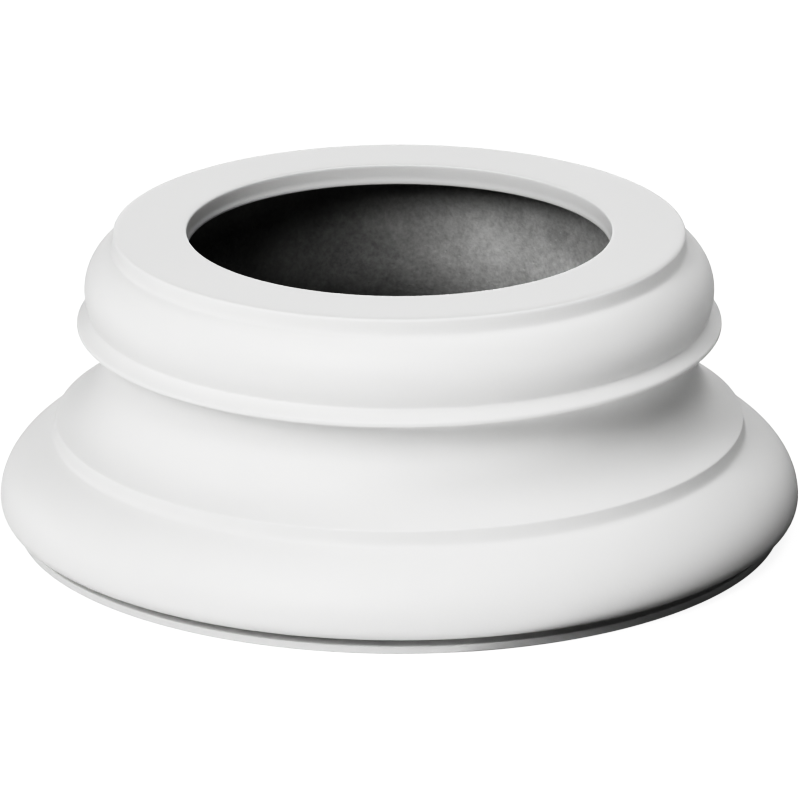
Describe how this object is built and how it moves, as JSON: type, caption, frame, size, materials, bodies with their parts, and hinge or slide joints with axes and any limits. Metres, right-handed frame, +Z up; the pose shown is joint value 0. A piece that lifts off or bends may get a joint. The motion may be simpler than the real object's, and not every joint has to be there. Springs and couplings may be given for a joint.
{
  "type": "column base",
  "caption": "Round hollow Attic column base with a flat ring seat for a shaft, two tori, a scotia and a recessed foot ring.",
  "frame": {"origin": "centre of the foot ring's underside, on the axis of the base", "axes": "+Z up along the axis of the base, towards the column shaft; +X to the right in the picture and +Y away from the viewer"},
  "size_m": [0.42, 0.42, 0.16],
  "materials": {
    "moulding": "smooth white primer on moulded polyurethane, matte, with a bare mottled inside"
  },
  "bodies": {
    "root": {"column_base": "moulding"}
  },
  "joints": []
}
